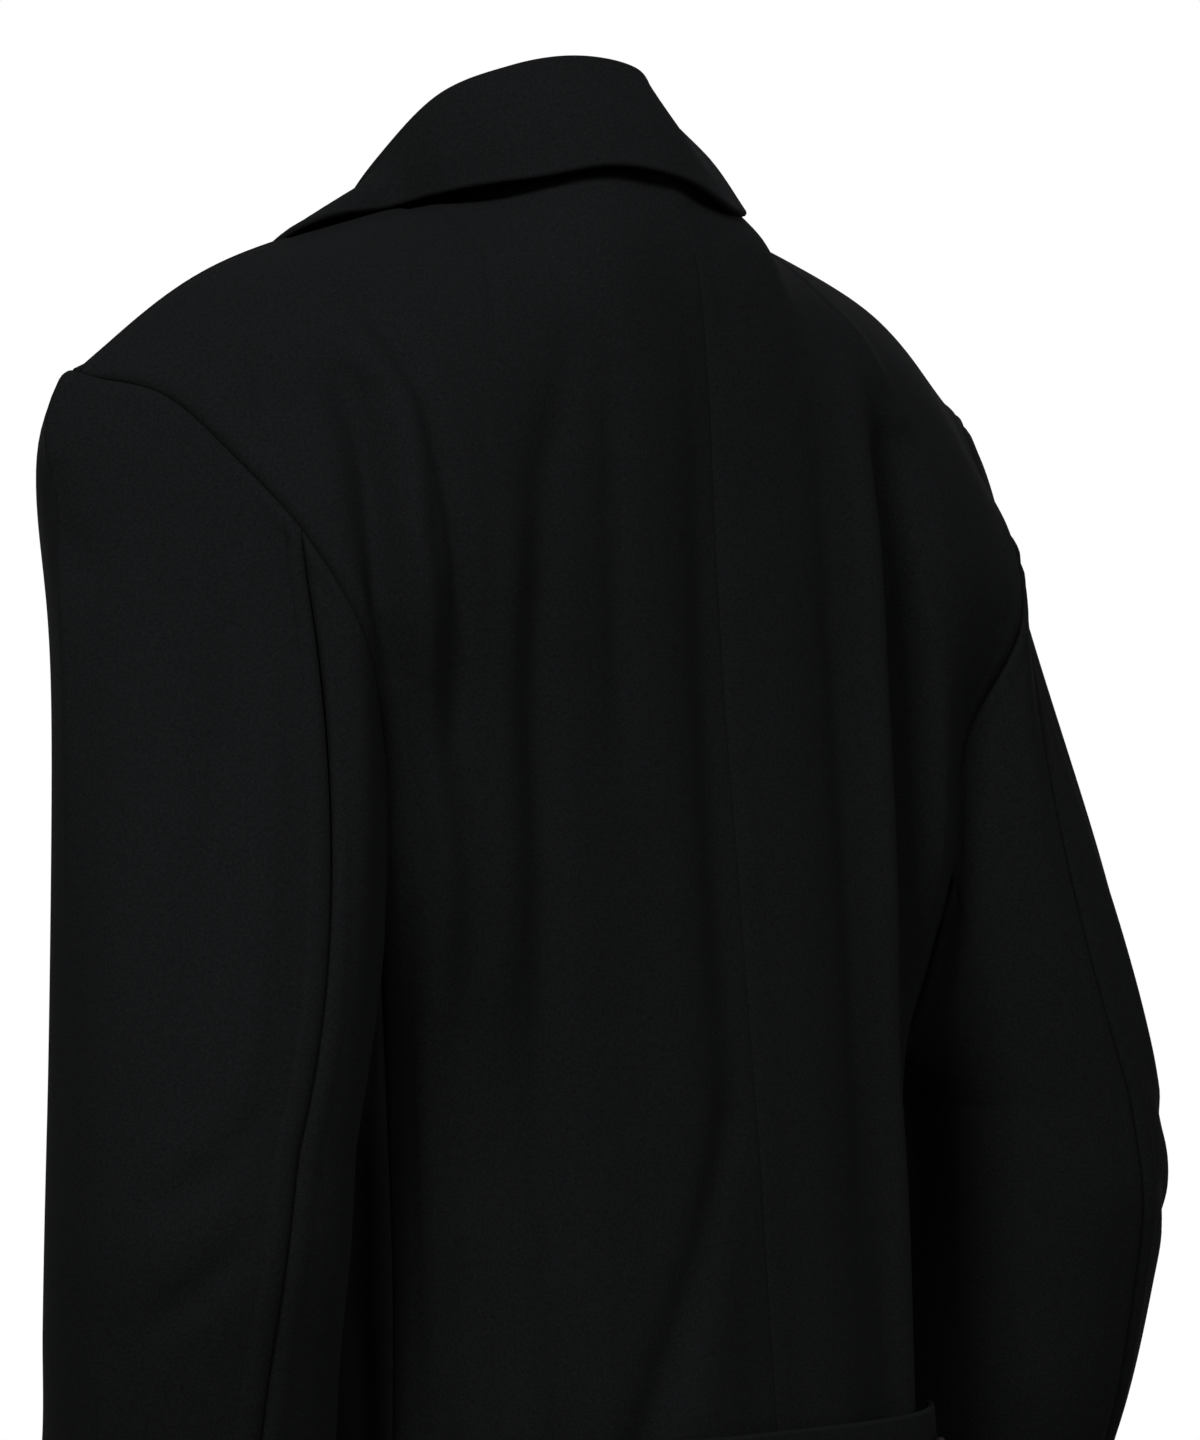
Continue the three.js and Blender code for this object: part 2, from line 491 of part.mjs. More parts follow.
// Four-hole buttons with a raised rim, turned about their own axis
function button(name, at, normal) {
  const r = BUTTON_RADIUS;
  const profile = [
    [0, 0], [r - 1.4, 0], [r, 1.3], [r, BUTTON_THICK - 0.7], [r - 0.9, BUTTON_THICK], [r - 2.2, BUTTON_THICK - 0.3],
    [r - 3.4, BUTTON_THICK - 1.2], [0, BUTTON_THICK - 1.3],
  ].map(([x, y]) => new THREE.Vector2(x, y));
  const mesh = place(name, new THREE.LatheGeometry(profile, 12), HORN, 0.4);
  mesh.position.set(...add(at, normal, LIE));
  mesh.quaternion.setFromUnitVectors(new THREE.Vector3(0, 1, 0), new THREE.Vector3(...normal));
}

// The point of a panel nearest to (x, z) and the way it faces there, on the coat's outer side.
const SEEK = 120;
function spotOn(surface, x, z, turned) {
  let best = { miss: Infinity };
  for (let i = 0; i <= SEEK; i += 1) {
    for (let j = 0; j <= SEEK; j += 1) {
      const p = surface(i / SEEK, j / SEEK);
      const miss = Math.hypot(p[0] - x, p[2] - z);
      if (miss < best.miss) best = { miss, p, i, j };
    }
  }
  const step = 3 / SEEK;
  const [s, t] = [best.i / SEEK, best.j / SEEK];
  const along = add(surface(Math.min(1, s + step), t), surface(Math.max(0, s - step), t), -1);
  const down = add(surface(s, Math.min(1, t + step)), surface(s, Math.max(0, t - step)), -1);
  return { p: best.p, normal: unit(cross(along, down)).map((value) => value * turned) };
}

FRONT_BUTTONS.forEach((z, row) => {
  FRONT_BUTTON_COLUMNS.forEach((x, column) => {
    const { p, normal } = spotOn(onPanel(frontGrid.left), x, z, -1);
    button(`button_front_${row + 1}_${column + 1}`, p, normal);
  });
});
[1, -1].forEach((hand) => {
  const x = hand * (WAIST_BELT_HALF - 24);
  const { p, normal } = spotOn(onPanel(belt), x, WAIST_BELT_TOP - WAIST_BELT_HEIGHT / 2, 1);
  button(hand > 0 ? 'button_belt_left' : 'button_belt_right', p, normal);
});

export default coat;
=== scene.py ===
import bpy
import numpy as np
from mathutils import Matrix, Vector


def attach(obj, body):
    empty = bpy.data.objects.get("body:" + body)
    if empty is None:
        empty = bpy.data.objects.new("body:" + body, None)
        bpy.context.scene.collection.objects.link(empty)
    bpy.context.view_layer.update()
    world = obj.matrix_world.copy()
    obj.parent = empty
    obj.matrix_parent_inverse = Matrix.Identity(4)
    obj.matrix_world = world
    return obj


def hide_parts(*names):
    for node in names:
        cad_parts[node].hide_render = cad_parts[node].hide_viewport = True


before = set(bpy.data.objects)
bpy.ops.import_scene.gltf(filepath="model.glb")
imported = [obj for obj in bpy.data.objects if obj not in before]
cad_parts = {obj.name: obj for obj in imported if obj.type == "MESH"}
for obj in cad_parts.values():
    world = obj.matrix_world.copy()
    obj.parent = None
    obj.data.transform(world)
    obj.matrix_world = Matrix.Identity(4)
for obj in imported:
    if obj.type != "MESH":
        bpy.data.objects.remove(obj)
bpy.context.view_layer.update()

# Camera, light and floor
# The view is level, from behind on the wearer's left, from three metres away, so the far sleeve
# is only a little smaller than the near one.
view_distance = 3.0
view_turn = np.radians(45.0)
view_height = -0.238
view_offset = 0.030
toward_back = np.array([np.sin(view_turn), np.cos(view_turn), 0.0])
to_the_right = np.array([-np.cos(view_turn), np.sin(view_turn), 0.0])
camera = bpy.data.objects.new("camera", bpy.data.cameras.new("camera"))
camera.location = toward_back * view_distance + to_the_right * view_offset + np.array([0, 0, view_height])
camera.rotation_euler = (np.radians(90.0), 0.0, np.radians(180.0) - view_turn)
camera.data.lens = 165.0
camera.data.sensor_width = 36.0
camera.data.clip_end = 60.0
bpy.context.scene.collection.objects.link(camera)
bpy.context.scene.camera = camera
bpy.context.scene.view_settings.view_transform = "Standard"

world = bpy.data.worlds.new("white_room")
bpy.context.scene.world = world
world.use_nodes = True
room = world.node_tree.nodes["Background"]
room.inputs["Color"].default_value = (1.0, 1.0, 1.0, 1.0)
room.inputs["Strength"].default_value = 1.0


def soft_light(name, place, aim, size, power):
    """Square area light at place, turned to face aim."""
    lamp = bpy.data.lights.new(name, "AREA")
    lamp.size = size
    lamp.energy = power
    holder = bpy.data.objects.new(name, lamp)
    holder.location = place
    holder.rotation_euler = (Vector(aim) - Vector(place)).to_track_quat("-Z", "Y").to_euler()
    bpy.context.scene.collection.objects.link(holder)


soft_light("key", (2.64, 1.23, 2.15), (0.0, 0.0, -0.3), 0.9, 520.0)
soft_light("fill", (0.6, 3.0, 2.1), (0.0, 0.0, -0.3), 1.0, 240.0)

floor_drop = 0.95
floor_half = 2.6
corners = [(-1, -1), (1, -1), (1, 1), (-1, 1)]
floor_mesh = bpy.data.meshes.new("floor")
floor_points = [(x * floor_half, y * floor_half, -floor_drop) for x, y in corners]
floor_mesh.from_pydata(floor_points, [], [(0, 1, 2, 3)])
floor = bpy.data.objects.new("floor", floor_mesh)
bpy.context.scene.collection.objects.link(floor)
floor_paint = bpy.data.materials.new("pale_floor")
floor_paint.use_nodes = True
floor_shader = floor_paint.node_tree.nodes["Principled BSDF"]
floor_shader.inputs["Base Color"].default_value = (0.3, 0.3, 0.295, 1)
floor_shader.inputs["Roughness"].default_value = 0.9
floor_mesh.materials.append(floor_paint)


# Wool
# Heavy melton: fulled wool, sheared to a short dense nap that hides the weave. Almost black with
# a little blue, dull, and a shade paler where the nap catches the light at a slant.
def wool_cloth():
    """Near-black, dull wool: a fine noise for its shade, and two bumps for the nap and softer unevenness."""
    paint = bpy.data.materials.new("melton_wool")
    paint.use_nodes = True
    nodes, links = paint.node_tree.nodes, paint.node_tree.links
    shader = nodes["Principled BSDF"]
    shader.inputs["Roughness"].default_value = 0.92
    shader.inputs["Specular IOR Level"].default_value = 0.006
    shader.inputs["Sheen Weight"].default_value = 0.001
    shader.inputs["Sheen Roughness"].default_value = 0.45
    shader.inputs["Sheen Tint"].default_value = (0.62, 0.68, 0.8, 1.0)
    place = nodes.new("ShaderNodeTexCoord")

    def noise(scale, detail, rough):
        """Output of a noise in the coat's own coordinates."""
        made = nodes.new("ShaderNodeTexNoise")
        made.inputs["Scale"].default_value = scale
        made.inputs["Detail"].default_value = detail
        made.inputs["Roughness"].default_value = rough
        links.new(place.outputs["Object"], made.inputs["Vector"])
        return made.outputs["Fac"]

    shade = nodes.new("ShaderNodeValToRGB")
    shade.color_ramp.elements[0].position = 0.3
    shade.color_ramp.elements[0].color = (0.0008, 0.00084, 0.00089, 1.0)
    shade.color_ramp.elements[1].position = 0.72
    shade.color_ramp.elements[1].color = (0.00158, 0.00166, 0.00178, 1.0)
    links.new(noise(900.0, 3.0, 0.65), shade.inputs["Fac"])
    links.new(shade.outputs["Color"], shader.inputs["Base Color"])
    nap = nodes.new("ShaderNodeBump")
    nap.inputs["Strength"].default_value = 0.35
    nap.inputs["Distance"].default_value = 0.0005
    links.new(noise(1400.0, 4.0, 0.7), nap.inputs["Height"])
    soft = nodes.new("ShaderNodeBump")
    soft.inputs["Strength"].default_value = 0.5
    soft.inputs["Distance"].default_value = 0.0012
    links.new(noise(70.0, 3.0, 0.55), soft.inputs["Height"])
    links.new(nap.outputs["Normal"], soft.inputs["Normal"])
    links.new(soft.outputs["Normal"], shader.inputs["Normal"])
    return paint


wool = wool_cloth()
mm = 0.001
cloth_thick = 2.6
doubled_thick = 3.4
sewn_in = 0.4


def spline(points, knots, at, corner=None, sharp=0.0):
    """Curve through points (first axis) at rising knots. On each span it is the cubic whose end slopes are
    the span-weighted means of the slopes on both sides; a corner keeps each side's own slope by sharp."""
    points = np.asarray(points, float)
    knots = np.asarray(knots, float)
    at = np.asarray(at, float)
    wide = (...,) + (None,) * (points.ndim - 1)
    span = np.diff(knots)
    rise = np.diff(points, axis=0) / span[wide]
    mean = (rise[:-1] * span[1:][wide] + rise[1:] * span[:-1][wide]) / (span[1:] + span[:-1])[wide]
    leave = np.concatenate([rise[:1], mean, rise[-1:]])
    arrive = leave.copy()
    if corner is not None:
        leave[corner] += (rise[corner] - leave[corner]) * sharp
        arrive[corner] += (rise[corner - 1] - arrive[corner]) * sharp
    i = np.clip(np.searchsorted(knots, at, side="right") - 1, 0, len(knots) - 2)
    f = ((at - knots[i]) / span[i])[wide]
    reach = span[i][wide]
    near = 2 * f**3 - 3 * f**2 + 1
    return (
        points[i] * near
        + points[i + 1] * (1 - near)
        + leave[i] * (f**3 - 2 * f**2 + f) * reach
        + arrive[i + 1] * (f**3 - f**2) * reach
    )


def net(rows, columns, s, t, corner=None):
    """Surface through the points of a table: a spline down every column at t, then one across at s. The
    first row may keep a corner, which dies out by the second row."""
    down = np.array([row[0] for row in rows], float)
    points = np.array([row[1:] for row in rows], float)
    at = t * down[-1]
    lines = spline(points, down, at)
    sharp = np.clip(1 - at / down[1], 0, 1)[:, None]
    return spline(lines.transpose(1, 0, 2), columns, s, corner, sharp)


def creases(rows, a, b, scale=1.0):
    """Height of soft folds at (a, b): each row adds its height times exp(-(gap / width)^2), where gap is the
    distance to its line of points. The height falls to a quarter at both ends of the line."""
    lift = np.zeros_like(a)
    for line, width, height in rows:
        line = np.array(line, float) * (scale, 1.0)
        lengths = np.linalg.norm(np.diff(line, axis=0), axis=1)
        starts = np.concatenate([[0.0], np.cumsum(lengths)])
        gap = np.full(a.shape, np.inf)
        along = np.zeros_like(a)
        for k, length in enumerate(lengths):
            run = (line[k + 1] - line[k]) / length
            off_a, off_b = a * scale - line[k, 0], b - line[k, 1]
            share = np.clip(off_a * run[0] + off_b * run[1], 0, length)
            near = np.hypot(off_a - run[0] * share, off_b - run[1] * share)
            closer = near < gap
            along = np.where(closer, (starts[k] + share) / starts[-1], along)
            gap = np.minimum(gap, near)
        fade = np.clip(5 * along * (1 - along), 0, 1) ** 0.6
        lift += height * (0.25 + 0.75 * fade) * np.exp(-((gap / width) ** 2))
    return lift


def steps(length, step, edge=(0.0, 0.5, 1.0, 1.7, 2.6, 3.8, 5.4, 7.5)):
    """Shares 0..1 along a length in mm: fine near both ends, then even."""
    count = max(2, int(round((length - 2 * edge[-1]) / step)))
    middle = np.linspace(edge[-1], length - edge[-1], count + 1)[1:-1]
    return np.concatenate([edge, middle, length - np.array(edge)[::-1]]) / length


def facing(grid):
    """Unit normals of a grid of points: the cross product of its two directions."""
    normal = np.cross(np.gradient(grid, axis=0), np.gradient(grid, axis=1))
    return normal / np.maximum(np.linalg.norm(normal, axis=2, keepdims=True), 1e-9)


def to_border(grid):
    """Distances in mm to the borders s=0, s=1, t=0 and t=1, measured along the cloth."""
    across = np.linalg.norm(np.diff(grid, axis=0), axis=2)
    down = np.linalg.norm(np.diff(grid, axis=1), axis=2)
    s0 = np.concatenate([np.zeros((1, grid.shape[1])), np.cumsum(across, axis=0)])
    t0 = np.concatenate([np.zeros((grid.shape[0], 1)), np.cumsum(down, axis=1)], axis=1)
    return s0, s0[-1:] - s0, t0, t0[:, -1:] - t0


def seam_relief(gap):
    """Cloth by a sewn seam: pulled down at the stitches, most in the seam itself, and a soft puff beside."""
    pulled = 1.2 * np.exp(-((gap / 2.4) ** 2)) + 1.3 * np.exp(-((gap / 0.8) ** 2))
    return 0.8 * np.exp(-(((gap - 7.0) / 4.0) ** 2)) - pulled


def seams(*gaps):
    """The relief of the nearest of several seams."""
    return seam_relief(np.minimum.reduce(gaps))


def hem_relief(gap):
    """Cloth by a turned and pressed edge: a little fuller over its turning, ending in a faint step."""
    return 0.5 / (1 + np.exp((gap - 30.0) / 1.5))


def wall(name, grid, thick, outward=1):
    """Closed wall over a grid: the grid is its outer face, the inner face lies thick below it, and half-round
    rims of radius thick / 2 join them along the whole border."""
    if outward < 0:
        grid = grid[::-1]
    normal = facing(grid)
    inner = grid - normal * thick
    m, n = grid.shape[:2]
    number = np.arange(m * n).reshape(m, n)
    quads = np.stack([number[:-1, :-1], number[1:, :-1], number[1:, 1:], number[:-1, 1:]], -1).reshape(-1, 4)
    loop = np.concatenate([number[:-1, 0], number[-1, :-1], number[:0:-1, -1], number[0, :0:-1]])
    points, low = grid.reshape(-1, 3), inner.reshape(-1, 3)
    middle = (points[loop] + low[loop]) / 2
    up = (points[loop] - low[loop]) / 2
    inside = np.concatenate([number[:-1, 1], number[-2, :-1], number[:0:-1, -2], number[1, :0:-1]])
    out = points[loop] - points[inside]
    corner = np.array([0, m - 1, m + n - 2, 2 * m + n - 3])
    diagonal = np.array([number[1, 1], number[-2, 1], number[-2, -2], number[1, -2]])
    out[corner] = points[loop[corner]] - points[diagonal]
    out -= up * (np.sum(out * up, 1) / np.maximum(np.sum(up * up, 1), 1e-9))[:, None]
    out *= thick / 2 / np.maximum(np.linalg.norm(out, axis=1), 1e-9)[:, None]
    rims = [middle + up * np.cos(turn) + out * np.sin(turn) for turn in np.radians([45.0, 90.0, 135.0])]
    count, ring = m * n, len(loop)
    rows = [loop] + [2 * count + k * ring + np.arange(ring) for k in range(len(rims))] + [loop + count]
    rim_quads = [
        np.stack([a, b, np.roll(b, -1), np.roll(a, -1)], -1) for a, b in zip(rows[:-1], rows[1:])
    ]
    vertices = np.concatenate([points, low] + rims) * mm
    faces = np.concatenate([quads, quads[:, ::-1] + count] + rim_quads)
    mesh = bpy.data.meshes.new(name)
    mesh.vertices.add(len(vertices))
    mesh.vertices.foreach_set("co", vertices.ravel())
    mesh.loops.add(faces.size)
    mesh.loops.foreach_set("vertex_index", faces.ravel())
    mesh.polygons.add(len(faces))
    mesh.polygons.foreach_set("loop_start", np.arange(0, faces.size, 4))
    mesh.update(calc_edges=True)
    mesh.polygons.foreach_set("use_smooth", np.ones(len(faces), bool))
    made = bpy.data.objects.new(name, mesh)
    bpy.context.scene.collection.objects.link(made)
    return made


def drawn_in(grid):
    """The grid with its borders moved inwards along the cloth by sewn_in, or less where rows are closer."""
    grid = grid.copy()
    for edge, next_row in ((0, 1), (-1, -2)):
        for rows in (grid, grid.transpose(1, 0, 2)):
            way = rows[next_row] - rows[edge]
            length = np.linalg.norm(way, axis=1, keepdims=True)
            rows[edge] += way * np.minimum(sewn_in / length, 0.6)
    return grid


def cloth_piece(name, grid, thick, outward=1):
    """The wall of a cut piece, in wool, standing for the node of its name. Its flat size is the length of the
    grid's longest row and longest line. Its area is the grid's own, or 0.31 of those two multiplied where the
    grid's is less, as on the under sleeves, whose longest row is their scooped armhole edge."""
    grid = drawn_in(grid)
    made = wall(name, grid, thick, outward)
    made.data.materials.append(wool)
    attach(made, "root")
    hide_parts(name)
    across = np.linalg.norm(np.diff(grid, axis=0), axis=2).sum(0).max() * mm
    down = np.linalg.norm(np.diff(grid, axis=1), axis=2).sum(1).max() * mm
    one, two = np.diff(grid, axis=0)[:, :-1], np.diff(grid, axis=1)[:-1]
    area = np.linalg.norm(np.cross(one, two), axis=2).sum() * mm * mm
    area = float(np.clip(area, 0.31 * across * down, across * down))
    print(f"flat {name}: {across * 100:.1f} x {down * 100:.1f} cm, {area * 1e4:.0f} cm2")
    return made


# Back
# Two panels of melton joined by a centre seam that runs from under the collar to the hem. Each
# reaches round to a seam with the side panel. The cloth hangs in long soft folds from the blades.
back_columns = [0, 0.24, 0.44, 0.74, 1]
back_rows = [
    # down, centre seam, inner, blade, outer, edge: shoulder tip, armhole, then the side seam
    (0, (0, 85, 13), (51, 62, 3), (77, 0, -6), (198, 0, -42), (278, 5, -89)),
    (45, (0, 103, -32), (55, 93, -24), (88, 44, -15), (183, 42, -49), (253, 35, -99)),
    (85, (0, 110, -68), (54, 106, -55), (94, 82, -42), (177, 78, -80), (237, 62, -126)),
    (125, (0, 115, -102), (52, 114, -96), (97, 106, -84), (176, 101, -118), (226, 92, -157)),
    (165, (0, 118, -152), (50, 119, -149), (98, 117, -145), (170, 115, -162), (212, 109, -192)),
    (225, (0, 123, -225), (50, 124, -225), (99, 121, -225), (158, 112, -230), (187, 97, -245)),
    (300, (0, 131, -305), (50, 131, -305), (100, 126, -305), (152, 112, -303), (183, 93, -301)),
    (400, (0, 140, -400), (50, 139, -400), (98, 128, -400), (138, 101, -397), (165, 77, -392)),
    (485, (0, 147, -485), (50, 145, -485), (98, 133, -485), (137, 104, -485), (162, 78, -485)),
    (550, (0, 153, -550), (50, 151, -550), (99, 137, -550), (139, 107, -550), (165, 81, -550)),
    (660, (0, 162, -660), (51, 160, -660), (103, 146, -660), (146, 117, -660), (174, 90, -660)),
    (800, (0, 172, -800), (53, 170, -800), (107, 158, -800), (154, 130, -800), (186, 103, -800)),
]
back_folds = [
    # (x, z) points from top to bottom, half-width, height
    ([
        (185, -78), (169, -98), (176, -128), (181, -160), (176, -197), (158, -320), (150, -400), (147, -543),
    ], 8, 6),
    ([(188, -84), (191, -112), (196, -150), (197, -190), (190, -228)], 9, -11.0),
    ([(213, -80), (221, -112)], 4, -1.5),
    ([(206, -78), (210, -102)], 4, 1.6),
    ([(166, -46), (161, -115), (158, -170), (155, -250)], 6.5, -4.5),
    ([(79, -73), (104, -130), (113, -200), (112, -400), (108, -560), (104, -760)], 11, -5.5),
    ([(128, -120), (134, -240), (132, -420)], 10, 3.0),
    ([(140, -470), (143, -600), (146, -760)], 8, -4.5),
    ([(62, -64), (66, -140), (70, -260)], 9, -2.5),
    ([(46, -110), (40, -300), (42, -620)], 22, 3.5),
    ([(4, -70), (10, -200), (16, -420)], 15, -4.5),
    ([(17, -405), (40, -470), (74, -552), (84, -600)], 11, -5.0),
    ([(-94, -85), (-97, -200), (-97, -400), (-95, -620)], 10, 8.0),
    ([(-66, -100), (-70, -240), (-68, -470)], 9, -2.5),
    ([(-124, -100), (-127, -250), (-124, -420)], 16, -24.0),
    ([(-152, -215), (-150, -280), (-146, -345)], 9, 3.5),
    ([(-36, -140), (-38, -400), (-42, -620)], 24, 4.0),
    ([(-112, -52), (-121, -76), (-131, -93), (-138, -108)], 7, 3.0),
    ([(-126, -470), (-132, -600), (-136, -780)], 12, -5.0),
    ([(60, -620), (64, -800)], 24, 5.0),
    ([(20, -640), (18, -790)], 14, -4.0),
    ([(-72, -600), (-78, -800)], 26, 5.0),
    ([(-24, -650), (-22, -790)], 13, -4.0),
    # the neck dart on each side
    ([(84, 2), (99, -34), (117, -67)], 1.7, -1.1),
    ([(-84, 2), (-99, -34), (-117, -67)], 1.7, -1.1),
]
corner_fade = 14.0
centre_seam_share = 0.3
back_s = steps(205, 1.7)
back_t = steps(820, 3.2)
half_back = net(back_rows, back_columns, back_s, back_t, corner=2)
for word, hand in (("left", 1), ("right", -1)):
    plain = half_back * (hand, 1, 1)
    s0, s1, t0, t1 = to_border(plain)
    lift = creases(back_folds, plain[..., 0], plain[..., 2])
    lift *= np.clip(s1 / corner_fade, 0, 1)
    lift += seams(s1, t0) + centre_seam_share * seam_relief(s0) + hem_relief(t1)
    lift *= np.clip((s1 + t0) / corner_fade, 0, 1)
    shaped = plain + facing(plain) * hand * lift[..., None]
    if hand > 0:
        back_shift = (shaped - plain)[-1]
    cloth_piece(f"back_{word}", shaped, cloth_thick, outward=hand)


# Fronts
# The left front closes over the right one. Their upper edges turn back as lapels, so each front
# starts at the turn, runs over the chest to the armhole and down to the side panel.
front_columns = [0, 0.4, 0.74, 1]
front_rows = [
    # down, turn and closing edge, chest, outer, edge: armhole, then the side seam
    (0, (77, 0, -6), (122, 0, -18), (200, 0, -43), (278, 5, -89)),
    (45, (80, -28, -27), (125, -30, -36), (195, -29, -64), (258, -16, -99)),
    (85, (77, -56, -56), (124, -60, -68), (188, -54, -94), (242, -32, -126)),
    (125, (64, -84, -100), (118, -88, -110), (180, -76, -130), (228, -42, -157)),
    (165, (38, -108, -155), (100, -109, -158), (168, -92, -170), (214, -46, -189)),
    (225, (-6, -124, -212), (78, -123, -214), (154, -100, -222), (200, -38, -237)),
    (285, (-66, -131, -278), (52, -132, -278), (142, -108, -282), (187, -12, -300)),
    (335, (-69, -132, -335), (46, -135, -335), (141, -111, -335), (184, 3, -342)),
    (400, (-72, -134, -400), (42, -137, -400), (141, -114, -398), (178, -6, -398)),
    (485, (-74, -134, -485), (42, -137, -485), (140, -114, -485), (178, -21, -485)),
    (600, (-76, -137, -600), (44, -141, -600), (143, -116, -600), (180, -33, -600)),
    (800, (-80, -146, -800), (48, -151, -800), (151, -126, -800), (197, -50, -800)),
]
front_folds = [
    ([(120, -130), (126, -230), (128, -330)], 14, -4.0),
    ([(-124, -120), (-128, -200), (-132, -300)], 16, -5.0),
    ([(150, -420), (136, -470), (120, -520)], 12, -4.0),
    ([(-152, -430), (-138, -490), (-118, -540)], 14, -4.0),
    ([(96, -280), (100, -420), (96, -600)], 20, 3.0),
    ([(-90, -560), (-96, -700), (-92, -800)], 22, 4.0),
]
underlap = 8.5
underlap_from = 135
underlap_over = 45


def front_surface(s, t, hand):
    """Points of a front, its top row being the back's shoulder seam. The right one sinks behind the left
    where they cross."""
    points = net(front_rows, front_columns, s, t)
    blade = back_columns[2]
    seam = net(back_rows, back_columns, blade + (1 - blade) * s, np.zeros(1), corner=2)
    fade = np.clip(1 - t * front_rows[-1][0] / front_rows[1][0], 0, 1) ** 2
    points = points + (seam - points[:, :1]) * fade[None, :, None]
    if hand < 0:
        deep = np.clip((-points[..., 2] - 60) / 120, 0, 1)
        near_closing = np.clip((underlap_from - points[..., 0]) / underlap_over, 0, 1)
        points[..., 1] += underlap * deep * near_closing
    return points * (hand, 1, 1)


front_s = steps(215, 3.4)
front_t = steps(830, 4.4)
front_shape = {}
for word, hand in (("left", 1), ("right", -1)):
    plain = front_surface(front_s, front_t, hand)
    s0, s1, t0, t1 = to_border(plain)
    lift = creases(front_folds, plain[..., 0], plain[..., 2])
    lift += seams(s1, t0) + hem_relief(t1) + hem_relief(s0)
    lift *= np.clip((s1 + t0) / corner_fade, 0, 1)
    shaped = plain - facing(plain) * hand * lift[..., None]
    front_shape[word] = shaped
    cloth_piece(f"front_{word}", shaped, cloth_thick, outward=-hand)


# Sides
# A narrow panel under each arm, from the bottom of the armhole to the hem. The sleeve presses on it.
side_columns = [0, 0.25, 0.5, 0.75, 1]
side_rows = [
    # down, row of the back that it meets, rear, middle, fore, row of the front that it meets
    (0, 300, (180, 74, -362), (179, 48, -390), (180, 28, -374), 335),
    (40, 400, (171, 63, -410), (175, 44, -424), (178, 18, -414), 400),
    (125, 485, (167, 60, -485), (172, 38, -485), (177, 10, -485), 485),
    (190, 550, (169, 63, -550), (173, 37, -550), (177, 6, -550), 548),
    (240, 605, (173, 64, -600), (176, 36, -600), (179, 2, -600), 600),
    (440, 800, (191, 73, -800), (194, 33, -800), (196, -10, -800), 800),
]


def edge_at(rows, at):
    """Points of a panel's outer edge at rows' distances at."""
    return spline([row[-1] for row in rows], [row[0] for row in rows], at)


def side_surface(s, t):
    """Points of the side panel: its two side edges are the back's and the front's own."""
    down = np.array([row[0] for row in side_rows], float)
    at = t * down[-1]
    middle = spline([row[2:5] for row in side_rows], down, at)
    rear_edge = edge_at(back_rows, spline([[row[1]] for row in side_rows], down, at)[:, 0])
    fore_edge = edge_at(front_rows, spline([[row[5]] for row in side_rows], down, at)[:, 0])
    columns = np.concatenate([rear_edge[:, None], middle, fore_edge[:, None]], axis=1)
    return spline(columns.transpose(1, 0, 2), side_columns, s)


side_folds = [
    ([(62, -420), (58, -480), (70, -560)], 9, -3.5),
    ([(30, -440), (24, -520), (10, -600)], 10, -3.0),
    ([(60, -600), (66, -700), (64, -800)], 16, 4.0),
    ([(12, -640), (6, -740), (4, -800)], 13, -3.0),
]
side_s = steps(130, 3.0)
side_plain = side_surface(side_s, steps(480, 4.0))
for word, hand in (("left", 1), ("right", -1)):
    plain = side_plain * (hand, 1, 1)
    s0, s1, t0, t1 = to_border(plain)
    lift = creases(side_folds, plain[..., 1], plain[..., 2])
    lift *= np.clip(s1 / corner_fade, 0, 1) * np.clip(s0 / corner_fade, 0, 1)
    lift += seams(s0, s1) + hem_relief(t1)
    shaped = plain + facing(plain) * hand * lift[..., None]
    if hand > 0:
        side_shift = (shaped - plain)[:, 0]
    cloth_piece(f"side_{word}", shaped, cloth_thick, outward=hand)


# Sleeves
# Cut in two pieces, a top sleeve whose shaped head is eased into the armhole, and an under sleeve.
# They meet in a hind-arm seam, which shows from behind, and a front-arm seam.
sleeve_rows = [
    # height, centre x and y, radius, dip at the back, degrees round to the hind-arm seam
    (-415, 261, 67, 64.8, 0.0, 87.5),
    (-458, 265, 69, 64, 0.06, 84),
    (-500, 263, 63, 62.3, 0.14, 80),
    (-550, 257.5, 54, 61, 0.20, 75),
    (-610, 254, 34, 58, 0.26, 71),
    (-680, 254, 8, 55, 0.30, 69),
]
sleeve_head_share = 0.48
sleeve_puff = 0.05
head_roll = 9.0
head_roll_down = 30.0
fuller_in_front = 0.9
hind_seam_bow = 13.0
front_seam = -100.0
mm_per_degree = 1.15
sleeve_seam_row = 125.0
pressed_turning = 12.5
turning_lift = 0.6
turning_dent = 0.3
relief_fade = 60.0
seam_start = 8.0
fold_start = 20.0
sleeve_folds = [
    # (degrees round the sleeve, z) points, half-width in mm, height
    ([(-20, -128), (-16, -152), (-8, -180)], 11, -4.5),
    ([(46, -190), (44, -250), (40, -320), (38, -410)], 11, -3.0),
    ([(12, -170), (8, -300), (4, -430)], 16, 2.5),
    ([(64, -210), (62, -330), (60, -430)], 6, 1.2),
    ([(66, -404), (54, -424), (30, -440)], 9, -2.4),
    ([(66, -452), (52, -470), (30, -488)], 9, -2.6),
    ([(-76, -424), (-96, -440), (-122, -470)], 10, -5.0),
    ([(-70, -470), (-100, -492), (-130, -510)], 9, -4.0),
    ([(10, -500), (14, -560), (6, -640)], 12, 2.5),
]


def sleeve_at(z):
    """Centre x and y, radius, dip and hind-arm seam's angle of the sleeve at heights z."""
    depths = [-row[0] for row in sleeve_rows]
    return np.moveaxis(spline([row[1:] for row in sleeve_rows], depths, -z), -1, 0)


